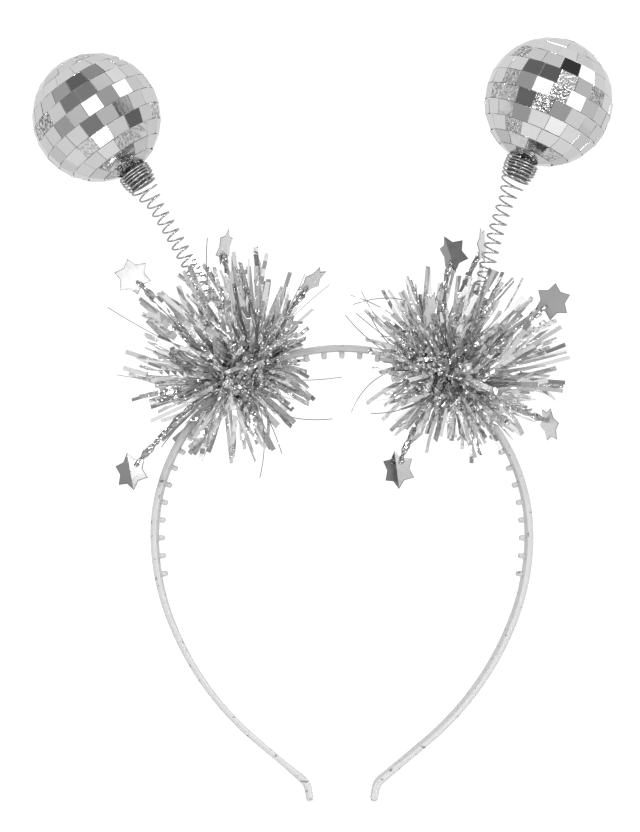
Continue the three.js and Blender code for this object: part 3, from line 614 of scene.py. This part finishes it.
# The core: circles of a sphere stacked up the neck's line. The neck: circles from inside the ball down to
# the spring's flare, whose radius is a profile along it plus lumps of a height that runs along it too.
def ballInside():
    sizes = ballSettings
    rows, columns = sizes["coreGrid"]
    fall = np.linspace(sizes["poleGap"], np.pi - sizes["poleGap"], rows)[:, None]
    core = spherePoint(fall, 2 * np.pi * np.arange(columns)[None] / columns, sizes["core"])
    rows, columns = sizes["neckGrid"]
    low = -sizes["radius"] - neckLength + sizes["neckClear"]
    share = np.linspace(0, 1, rows)[:, None]
    height = low + share * (sizes["neckSink"] - sizes["radius"] - low)
    around = 2 * np.pi * np.arange(columns)[None] / columns
    lumps = lumpsOf(sizes["neckWaves"], around, share) * np.interp(share, *sizes["neckLumps"])
    radius = np.interp(share, *sizes["neckRadius"]) + lumps
    neck = np.stack([radius * np.cos(around), radius * np.sin(around), height + 0 * around], axis=-1)
    return core, neck


# A ball: its tiles with a tone and a crinkle each, its core and its glued neck, whose foil tone is set
# below nought as painted shade inside the collar.
def makeBall(side, lines):
    sizes = ballSettings
    random = np.random.default_rng(lines["seed"])
    tiles, cap = ballTiles(random)
    core, neck = ballInside()
    tone = random.uniform(0, 1, len(tiles))
    crinkled = random.random(len(tiles)) < sizes["crinkledShare"]
    crinkle = np.where(crinkled, random.uniform(*sizes["crinkled"], len(tiles)), sizes["plainCrinkle"])
    makePiece(f"tiles_{side}", [ballTurned(tiles, lines), ballTurned(cap, lines)], mirrorTile,
              "mirror_tile", [f"ball_{side}"], smooth=False, tone=[tone, [sizes["capTone"]]],
              crinkle=[crinkle, [sizes["capCrinkle"]]])
    makePiece(f"core_{side}", [ballTurned(core, lines)[None]], ballCore, "mirror_tile")
    makePiece(f"neck_{side}", [ballTurned(neck, lines)[None]], tinselFoil, "tinsel_foil",
              tone=[[sizes["neckShadeTone"]]], crinkle=[[sizes["neckCrinkle"]]], satin=[[sizes["neckSatin"]]])


for side, lines in antennae.items():
    makeBall(side, lines)
print("balls made")

tuftSettings = {
    "reach": 42, "rise": 9, "thickness": 0.09, "zigzag": (0.1, 1), "bendEnd": 1.05, "bendPower": 0.6,
    "coreRise": 1.6, "coreLength": 27, "coreRadius": 7.4, "swell": 0.75, "coreGrid": (40, 40),
    "poleGap": 0.05, "coreWaves": ((0.1, 7, 11, 0), (0.08, 13, -17, 0)), "coreTone": 0.1,
    "coreCrinkle": 1.0, "seedShift": 100,
}
stripSettings = {
    "count": 410, "rows": 15, "width": (1.4, 2.1), "turnScatter": 0.6, "scatter": 0.08,
    "length": (0.5, 1.02), "lengthPower": 0.62, "shortNear": ((0.6, 0.85, 1), (1, 0.78, 0.6)),
    "inwardFrom": (0.3, 1), "shortLevel": ((0.91, 0.98), (1, 0.72)),
    "rootSpread": 0.55, "rootJitter": 0.5, "rootScatter": 1.3, "bow": 14, "bowPower": 3,
    "kinkedShare": 0.28, "kink": (0.2, 0.6), "leastKink": 0.02,
    "widthScatter": 0.35, "turnedOff": 0.45, "twist": 0.18, "tonePower": 0.42,
    # Crinkle amounts: each also sets how much painted shade darkens the foil.
    "kinkedCrinkle": (0.05, 0.35), "plainCrinkle": (0, 0.01), "rootCrinkle": (0.1, 0.6), "rootFade": 3,
}
shredSettings = {
    "count": 420, "rows": 12, "width": (1.1, 2.2), "start": (0.7, 1.2), "onward": 1.05, "scatter": 0.45,
    "bow": 3, "twist": 2, "kink": (0.4, 1.1), "tone": (0.3, 1), "crinkle": (0.1, 0.6),
}
hairSettings = {
    "count": 12, "rows": 24, "width": 0.26, "spread": (1, 0.4, 1), "inwardRise": 0.55,
    "inwardScatter": 0.25, "length": (0.95, 1.2), "bow": 16, "kink": 0.02, "tone": 0.1,
}


# Where a tuft is: the middle of its core on the band, and the middle that its strips spread to.
def tuftPlace(lines):
    foot, sizes = lines["foot"], tuftSettings
    core = foot["point"] + foot["along"] * lines["slide"] + foot["up"] * sizes["coreRise"]
    middle = core + foot["up"] * (sizes["rise"] - sizes["coreRise"])
    spread = np.array([lines["across"], lines["deep"], lines["up"]]) * sizes["reach"]
    return core, middle, spread


# Flat strips from roots to tips: the path bows sideways as the square of the way along it and is kinked at
# random, most of all near its root. A thin box section has its width along widthWay, and is turned from
# there by a roll and a twist that grows along the way.
def foilStrips(roots, tips, bow, widthWay, width, thickness, roll, twist, kink, rows, random):
    sizes = tuftSettings
    share = np.linspace(0, 1, rows)[None, :, None]
    path = roots[:, None] + (tips - roots)[:, None] * share + bow[:, None] * (share ** 2 - share)
    tangent = unit(np.gradient(path, axis=1))
    second = unit(np.cross(tangent, widthWay[:, None]))
    first = np.cross(second, tangent)
    angle = roll[:, None, None] + twist[:, None, None] * share
    flat = np.cos(angle) * first + np.sin(angle) * second
    thin = np.cross(tangent, flat)
    zigzag = np.where(np.arange(rows) % 2, 1.0, -1.0)[None, :, None]
    zigzag = zigzag * random.uniform(*sizes["zigzag"], (len(roots), rows, 1))
    zigzag = zigzag * (sizes["bendEnd"] - share) ** sizes["bendPower"]
    path = path + thin * zigzag * kink[:, None, None]
    across = np.array([1, -1, -1, 1])[None, None, :, None] * width[:, None, None, None] / 2
    over = np.array([1, 1, -1, -1])[None, None, :, None] * thickness / 2
    return path[:, :, None] + across * flat[:, :, None] + over * thin[:, :, None]


# Evenly spread directions: levels fall in equal steps while the turn grows by the golden angle.
def spreadDirections(count, random):
    level = 1 - (2 * np.arange(count) + 1) / count
    scatter = random.uniform(0, stripSettings["turnScatter"], count)
    turn = np.arange(count) * np.pi * (3 - math.sqrt(5)) + scatter
    ring = np.sqrt(1 - level ** 2)
    return np.stack([ring * np.cos(turn), level, ring * np.sin(turn)], axis=-1)


# The wound core: circles of an ellipsoid along the band, swollen by lumps.
def woundCore(core, foot):
    sizes = tuftSettings
    rows, columns = sizes["coreGrid"]
    fall = np.linspace(sizes["poleGap"], np.pi - sizes["poleGap"], rows)[:, None]
    turn = 2 * np.pi * np.arange(columns)[None] / columns
    swell = (1 + lumpsOf(sizes["coreWaves"], turn, fall)) * sizes["swell"]
    axes = np.stack([foot["wide"] * sizes["coreRadius"], foot["up"] * sizes["coreRadius"],
                     foot["along"] * sizes["coreLength"] / 2])
    return core + (spherePoint(fall, turn, 1) * swell[..., None]) @ axes


# Long strips out of the core in every direction, each shortened as it points at the viewer or level to the
# crown, and which of them are kinked.
def longStrips(lines, random):
    sizes, foot, count = stripSettings, lines["foot"], stripSettings["count"]
    core, middle, spread = tuftPlace(lines)
    toward = unit(spreadDirections(count, random) + random.normal(scale=sizes["scatter"], size=(count, 3)))
    inward = -lines["sign"] * toward[:, :1]
    reach = random.uniform(*sizes["length"], (count, 1)) ** sizes["lengthPower"]
    reach = reach * np.interp(-toward[:, 1:2], *sizes["shortNear"])
    reach = reach * np.interp(inward, sizes["inwardFrom"], (1, lines["inward"]))
    reach = reach * np.interp(inward, *sizes["shortLevel"])
    tips = middle + toward * spread * reach
    jitter = random.uniform(-sizes["rootJitter"], sizes["rootJitter"], (count, 1))
    place = (toward @ foot["along"])[:, None] * sizes["rootSpread"] + jitter
    roots = core + foot["along"] * place * tuftSettings["coreLength"] / 2
    roots = roots + random.normal(scale=sizes["rootScatter"], size=(count, 3))
    bow = np.cross(toward, random.normal(size=(count, 3)))
    bow = bow * random.uniform(0, 1, (count, 1)) ** sizes["bowPower"] * sizes["bow"]
    kinked = random.random(count) < sizes["kinkedShare"]
    kink = np.where(kinked, random.uniform(*sizes["kink"], count), sizes["leastKink"])
    widthWay = foot["along"] + random.normal(scale=sizes["widthScatter"], size=(count, 3))
    width = random.uniform(*sizes["width"], count)
    roll = random.normal(scale=sizes["turnedOff"], size=count)
    twist = random.normal(scale=sizes["twist"], size=count)
    strips = foilStrips(roots, tips, bow, widthWay, width, tuftSettings["thickness"], roll, twist, kink,
                        sizes["rows"], random)
    return strips, kinked


# Short shreds crumpled round the core: each starts at a point near the core's ellipsoid and ends a little
# further out and to one side.
def coreShreds(lines, random):
    sizes, tuft, foot, count = shredSettings, tuftSettings, lines["foot"], shredSettings["count"]
    core = tuftPlace(lines)[0]
    ends = unit(random.normal(size=(1, count, 3))) * random.uniform(*sizes["start"], (1, count, 1))
    away = random.normal(scale=sizes["scatter"], size=(1, count, 3))
    axes = np.stack([foot["along"] * tuft["coreLength"] / 2, foot["wide"] * tuft["coreRadius"],
                     foot["up"] * tuft["coreRadius"]])
    roots, tips = core + np.concatenate([ends, ends * sizes["onward"] + away]) @ axes
    bow = random.normal(scale=sizes["bow"], size=(count, 3))
    widthWay = random.normal(size=(count, 3))
    width = random.uniform(*sizes["width"], count)
    twist = random.normal(scale=sizes["twist"], size=count)
    kink = random.uniform(*sizes["kink"], count)
    return foilStrips(roots, tips, bow, widthWay, width, tuft["thickness"], np.zeros(count), twist, kink,
                      sizes["rows"], random)


# A few loose hairs out of the core's middle. The first hairsInward of them point up towards the crown.
def looseHairs(lines, random):
    sizes, count = hairSettings, hairSettings["count"]
    core, middle, spread = tuftPlace(lines)
    toward = unit(random.normal(size=(count, 3)) * sizes["spread"])
    upInward = np.array([-lines["sign"], 0, sizes["inwardRise"]])
    aimed = unit(upInward + sizes["inwardScatter"] * toward)
    toward = np.where((np.arange(count) < lines["hairsInward"])[:, None], aimed, toward)
    tips = middle + toward * spread * random.uniform(*sizes["length"], (count, 1))
    bow = np.cross(toward, random.normal(size=(count, 3))) * sizes["bow"]
    widthWay = random.normal(size=(count, 3))
    none = np.zeros(count)
    return foilStrips(np.repeat(core[None], count, axis=0), tips, bow, widthWay, none + sizes["width"],
                      sizes["width"], none, none, none + sizes["kink"], sizes["rows"], random)


# A tuft in one piece, with a tone for each strip. Kinked strips are crinkled all along, and every strip is
# crinkled near its root, fading out a third of the way along; as the crinkle also paints shade, the strips
# carry the most painted shade near the core.
def makeTuft(side, lines):
    random = np.random.default_rng(lines["seed"] + tuftSettings["seedShift"])
    sizes, strip, shred, hair = tuftSettings, stripSettings, shredSettings, hairSettings
    strips, kinked = longStrips(lines, random)
    shreds = coreShreds(lines, random)
    hairs = looseHairs(lines, random)
    core = woundCore(tuftPlace(lines)[0], lines["foot"])
    tone = [random.uniform(0, 1, strip["count"]) ** strip["tonePower"],
            random.uniform(*shred["tone"], shred["count"]), np.full(hair["count"], hair["tone"]),
            [sizes["coreTone"]]]
    fade = np.clip(1 - np.linspace(0, strip["rootFade"], strip["rows"]), 0, 1)[None]
    nearRoot = fade * random.uniform(*strip["rootCrinkle"], (strip["count"], 1))
    whenKinked = random.uniform(*strip["kinkedCrinkle"], strip["count"])
    whenPlain = random.uniform(*strip["plainCrinkle"], strip["count"])
    allAlong = np.where(kinked, whenKinked, whenPlain)[:, None]
    crinkle = [np.maximum(allAlong, nearRoot), random.uniform(*shred["crinkle"], shred["count"]),
               np.zeros(hair["count"]), [sizes["coreCrinkle"]]]
    makePiece(f"tinsel_{side}", [strips, shreds, hairs, core[None]], tinselFoil, "tinsel_foil",
              [f"tuft_{side}"], smooth=False, tone=tone, crinkle=crinkle)


for side, lines in antennae.items():
    makeTuft(side, lines)
print("tufts made")

starSettings = {
    "radius": 7, "waist": 4.65, "points": 6, "thickness": 0.34, "columns": 48, "dish": 0.004,
    "rings": (0.02, 0.5, 0.9, 0.97, 1), "ringHeights": (0.5, 0.5, 0.5, 0.46, 0.3),
    # Painted shade: the rim of each plate takes a lower tone.
    "rimFrom": 0.95, "rimShade": 0.4,
    "stemRadius": 1.1, "stemBow": 3, "stemBend": 0.6, "stemRows": 46, "stemColumns": 14,
    "stemWaves": ((0.25, 0, 34, 1), (0.22, 3, 21, 2), (0.18, 5, -47, 0)), "stemFlat": 0.35, "stemTurn": 9,
    "stemTaper": ((0, 0.96, 1), (1, 1, 0.5)), "stemTone": 0.42, "stemCrinkle": 0.35,
}
# Each star's tones, one for each half of its crease, are painted light and shade, set star by star for how
# brightly each half catches the light.
stars = [
    {"node": "star_left_1", "place": (-0.87, -0.1, 0.68), "root": (-0.5, -0.2, 0.35), "bow": 0.4,
     "lean": 0, "facing": 12, "tilt": 12, "roll": 18, "fold": 0,
     "tones": (0.6, 0.6), "crinkle": 0.012, "satin": 0.3},
    {"node": "star_left_2", "place": (-0.87, -0.3, -1.02), "root": (-0.7, -0.75, 0.2), "bow": 0.5,
     "lean": 0, "facing": -8, "tilt": -6, "roll": 12, "fold": 34,
     "tones": (0.25, 0.5), "crinkle": 0.002, "satin": 0.2},
    {"node": "star_left_3", "place": (-0.08, 0.2, 0.97), "root": (0.5, 0.3, 0.4), "bow": -0.5,
     "lean": 13, "facing": 71, "tilt": 4, "roll": 8, "fold": 0,
     "tones": (1.0, 1.0), "crinkle": 0.02, "satin": 0.4},
    {"node": "star_left_4", "place": (0.7, -0.12, 0.64), "root": (0.74, -0.25, 0.4), "bow": 0.3,
     "lean": 38, "facing": 69, "tilt": 8, "roll": -26, "fold": 0,
     "tones": (1.0, 1.0), "crinkle": 0.02, "satin": 0.4},
    {"node": "star_right_1", "place": (-0.11, -0.34, 0.9), "root": (-0.5, -0.4, 0.35), "bow": -0.6,
     "lean": 0, "facing": -20, "tilt": 8, "roll": 16, "fold": 58,
     "tones": (0.1, 0.1), "crinkle": 0.1, "satin": 0.0},
    {"node": "star_right_2", "place": (0.22, 0.3, 1.04), "root": (-0.34, 0.6, 0.3), "bow": -1.2,
     "lean": -5, "facing": 70, "tilt": 5, "roll": 28, "fold": 0,
     "tones": (1.0, 1.0), "crinkle": 0.02, "satin": 0.4},
    {"node": "star_right_3", "place": (0.83, 0.1, 0.52), "root": (0.5, 0.2, 0.45), "bow": -1.4,
     "lean": 0, "facing": 4, "tilt": 4, "roll": -8, "fold": 0,
     "tones": (0.2, 0.2), "crinkle": 0.01, "satin": 0.35},
    {"node": "star_right_4", "place": (-0.57, -0.34, -0.96), "root": (-0.1, -0.82, -0.2), "bow": 0.8,
     "lean": 0, "facing": 8, "tilt": -4, "roll": 6, "fold": -52,
     "tones": (0.1, 0.9), "crinkle": 0.06, "satin": 0.05},
    {"node": "star_right_5", "place": (0.83, 0.36, -0.57), "root": (0.72, 0.5, 0.35), "bow": 0.6,
     "lean": -24, "facing": -66, "tilt": -12, "roll": 24, "fold": 0,
     "tones": (1.0, 1.0), "crinkle": 0.02, "satin": 0.4},
    {"node": "star_right_6", "place": (-0.3, -0.66, 0.4), "root": (-0.15, -0.8, 0.25), "bow": 0.4,
     "lean": 0, "facing": 68, "tilt": 10, "roll": -14, "fold": 0,
     "tones": (1.0, 1.0), "crinkle": 0.02, "satin": 0.4},
]


# A star's plate: its straight-sided outline shrunk towards the middle on the back and again on the front,
# creased by lifting one half in proportion to its distance from the middle line, and slightly dished. Each
# half has its own tone, painted light and shade for how brightly that half catches the light, and a lower
# tone at the rim as painted shade.
def starPlate(star):
    sizes = starSettings
    corners = 2 * sizes["points"]
    angle = np.pi * np.arange(corners + 1) / sizes["points"]
    radius = np.where(np.arange(corners + 1) % 2, sizes["waist"], sizes["radius"])
    place = corners * np.arange(sizes["columns"]) / sizes["columns"]
    outlineX = np.interp(place, np.arange(corners + 1), radius * np.sin(angle))
    outlineY = np.interp(place, np.arange(corners + 1), radius * np.cos(angle))
    rings, heights = np.array(sizes["rings"]), np.array(sizes["ringHeights"])
    share = np.concatenate([rings, rings[::-1]])[:, None]
    height = np.concatenate([-heights, heights[::-1]])[:, None] * sizes["thickness"]
    across, along = share * outlineX[None, ::-1], share * outlineY[None, ::-1]
    saddle = np.cos(2 * np.arctan2(along, across) + star["roll"])
    dish = sizes["dish"] * (across ** 2 + along ** 2) * saddle
    lift = np.minimum(0, across) * math.tan(math.radians(star["fold"]))
    tone = np.where(across < 0, *star["tones"]) * np.where(share > sizes["rimFrom"], sizes["rimShade"], 1)
    return np.stack([across, along, height + dish + lift], axis=-1), tone


# A star's stem: a bent line from the core to the star's edge with a flattened tube round it, whose radius
# is pinched and lumped by sines as foil wound on wire is.
def starStem(root, bend, edge, seed):
    sizes = starSettings
    share = np.linspace(0, 1, sizes["stemRows"])[:, None]
    path = root * (1 - share) ** 2 + 2 * bend * share * (1 - share) + edge * share ** 2
    tube = wireAlong(path, 1.0, sizes["stemColumns"]) - path[:, None]
    angle = 2 * np.pi * np.arange(sizes["stemColumns"])[None] / sizes["stemColumns"]
    lumps = 1 + lumpsOf(sizes["stemWaves"], angle, share, seed)
    flat = 1 - sizes["stemFlat"] * np.sin(angle + sizes["stemTurn"] * share + seed) ** 2
    taper = np.interp(share, *sizes["stemTaper"])
    return path[:, None] + tube * (sizes["stemRadius"] * lumps * flat * taper)[..., None]


# A star is turned by its roll, stood up and leaned back by its tilt, turned round to its facing and leaned
# sideways. The stem ends on the half nearer the core.
def makeStar(star, lines):
    sizes, foot, tuft = starSettings, lines["foot"], tuftSettings
    core, middle, spread = tuftPlace(lines)
    centre = middle + np.array(star["place"]) * tuft["reach"]
    rootSizes = np.array([tuft["coreLength"] / 2, tuft["coreRadius"], tuft["coreRadius"]])
    root = core + (np.array(star["root"]) * rootSizes) @ np.stack([foot["along"], foot["wide"], foot["up"]])
    turned = turnAbout(1, star["lean"]) @ turnAbout(2, star["facing"])
    turned = turned @ turnAbout(0, 90 + star["tilt"]) @ turnAbout(2, star["roll"])
    out = unit(centre - root)
    edge = turned.T @ (-out * sizes["waist"] / 2)
    edge[2] = min(0, edge[0]) * math.tan(math.radians(star["fold"]))
    edge = turned @ edge + centre
    bend = root + (edge - root) * sizes["stemBend"]
    bend = bend + unit(np.cross(depth, out)) * star["bow"] * sizes["stemBow"]
    flat, tone = starPlate(star)
    plate = flat @ turned.T + centre
    stem = starStem(root, bend, edge, star["roll"])
    makePiece(f"foil_{star['node']}", [plate[None], stem[None]], starFoil, "star_foil", [star["node"]],
              smooth=False, tone=[tone[None], [sizes["stemTone"]]],
              crinkle=[[star["crinkle"]], [sizes["stemCrinkle"]]], satin=[[star["satin"]], [0]])


for star in stars:
    makeStar(star, antennae[star["node"].split("_")[1]])
print("stars made")

studioSettings = {
    "floorHeight": -550, "floorHalf": 1200, "floorColour": (0.86, 0.86, 0.87, 1), "floorGloss": 0.7,
    "backdrop": 0.66, "exposure": 0.25, "frontFade": -0.12,
    "patchScale": 3.1, "patchPlace": (4.2, 1.3, 1.6),
    "patchTones": ((0, 0.04), (0.14, 0.62), (0.34, 0.34), (0.46, 0.12), (0.61, 1.3), (0.68, 0.5),
                   (0.82, 0.2)),
    "boxesAim": (0, 0, 20),
    "boxes": (
        {"place": (-640, -900, 160), "size": (130, 180), "power": 1.7},
        {"place": (660, -900, 300), "size": (130, 180), "power": 1.7},
        {"place": (-150, -500, 900), "size": (260, 260), "power": 3.4},
        {"place": (240, -900, -420), "size": (150, 150), "power": 1.4},
    ),
}


# The floor: one flat square well below the tips.
def makeFloor():
    half = studioSettings["floorHalf"]
    corners = np.array([[-half, -half], [half, -half], [half, half], [-half, half]]) * millimetre
    height = np.full((4, 1), studioSettings["floorHeight"] * millimetre)
    mesh = bpy.data.meshes.new("floor")
    mesh.from_pydata(np.hstack([corners, height]).tolist(), [], [(0, 1, 2, 3)])
    finish, tree, shader = newFinish("floorPaper")
    shader.inputs["Base Color"].default_value = studioSettings["floorColour"]
    shader.inputs["Roughness"].default_value = studioSettings["floorGloss"]
    mesh.materials.append(finish)
    floor = bpy.data.objects.new("floor", mesh)
    bpy.context.scene.collection.objects.link(floor)


# Soft boxes: flat lights that face the headband's middle.
def makeBoxes():
    for number, box in enumerate(studioSettings["boxes"]):
        data = bpy.data.lights.new(f"softBox{number}", "AREA")
        data.shape = "RECTANGLE"
        data.size, data.size_y = [value * millimetre for value in box["size"]]
        data.energy = box["power"]
        light = bpy.data.objects.new(f"softBox{number}", data)
        place = np.array(box["place"]) * millimetre
        light.location = place
        away = unit(place - np.array(studioSettings["boxesAim"]) * millimetre)
        side = unit(np.cross([0, 0, 1], away))
        light.rotation_mode = "QUATERNION"
        axes = np.stack([side, np.cross(away, side), away], axis=1)
        light.rotation_quaternion = Matrix(axes.tolist()).to_quaternion()
        bpy.context.scene.collection.objects.link(light)


# The room: pale paper behind, and in front patches of light and shade that the mirrors and foil pick up.
# What the camera sees directly is white. Inputs 0, 6 and 7 of a colour mix are its share and two colours.
def makeRoom():
    world = bpy.data.worlds.new("room")
    bpy.context.scene.world = world
    world.use_nodes = True
    tree = world.node_tree
    tree.nodes.clear()
    sky = addNode(tree, "ShaderNodeTexCoord", "Generated")
    deep = addNode(tree, "ShaderNodeSeparateXYZ", "Y", Vector=sky)
    front = addRange(tree, deep, 0.0, 1.0, 0.0, studioSettings["frontFade"])
    shift = addNode(tree, "ShaderNodeMapping", "Vector", Vector=sky, Location=studioSettings["patchPlace"])
    cells = addNode(tree, "ShaderNodeTexVoronoi", "Color", Vector=shift, Scale=studioSettings["patchScale"])
    tones = tree.nodes.new("ShaderNodeValToRGB")
    feed(tree, tones.inputs["Fac"], cells)
    tones.color_ramp.interpolation = "CONSTANT"
    stops = tones.color_ramp.elements
    while len(stops) < len(studioSettings["patchTones"]):
        stops.new(0.5)
    for stop, (position, tone) in zip(stops, studioSettings["patchTones"]):
        stop.position = position
        stop.color = (tone, tone, tone, 1)
    blend = tree.nodes.new("ShaderNodeMix")
    blend.data_type = "RGBA"
    paper = (studioSettings["backdrop"],) * 3 + (1,)
    for number, value in ((0, front), (6, paper), (7, tones.outputs["Color"])):
        feed(tree, blend.inputs[number], value)
    seen = addNode(tree, "ShaderNodeLightPath", "Is Camera Ray")
    around = addNode(tree, "ShaderNodeBackground", "Background", Color=blend.outputs[2])
    white = addNode(tree, "ShaderNodeBackground", "Background", Color=(1, 1, 1, 1))
    chosen = tree.nodes.new("ShaderNodeMixShader")
    for number, value in enumerate((seen, around, white)):
        feed(tree, chosen.inputs[number], value)
    output = tree.nodes.new("ShaderNodeOutputWorld")
    feed(tree, output.inputs["Surface"], chosen.outputs[0])


makeFloor()
makeBoxes()
makeRoom()
bpy.context.scene.view_settings.view_transform = "Standard"
bpy.context.scene.view_settings.exposure = studioSettings["exposure"]
print("studio made")
